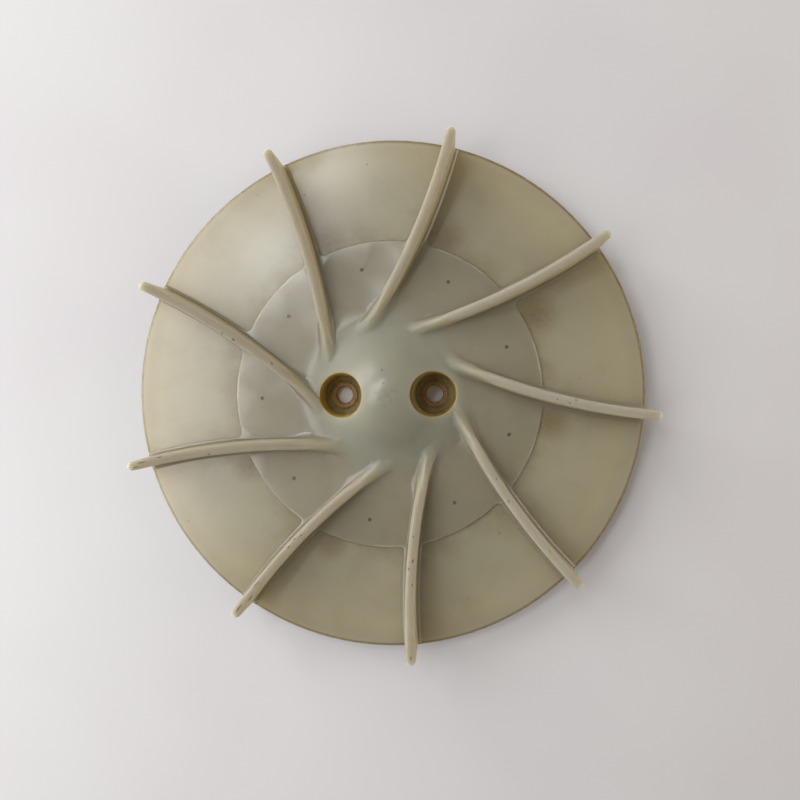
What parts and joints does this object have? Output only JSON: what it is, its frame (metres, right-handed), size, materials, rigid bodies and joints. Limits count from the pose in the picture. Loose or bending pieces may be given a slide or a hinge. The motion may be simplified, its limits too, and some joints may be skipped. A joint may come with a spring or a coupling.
{
  "type": "impeller",
  "caption": "Open radial impeller: flat backplate, curved blades that climb towards the rim, bell-shaped hub with two deep bolt sockets lined by steel sleeves.",
  "frame": {"origin": "on the wheel's axis, in the plane of the mounting face under the hub", "axes": "+Z along the wheel's axis towards the bladed side, +X through the centre of the right bolt hole"},
  "size_m": [0.2, 0.2, 0.0315],
  "materials": {
    "nylon": "natural nylon, off-white and slightly translucent, yellowed and stained towards the rim",
    "steel": "plain steel, dull and rust-stained"
  },
  "bodies": {
    "root": {"impeller_wheel": "nylon", "left_bolt_sleeve": "steel", "right_bolt_sleeve": "steel"}
  },
  "joints": []
}
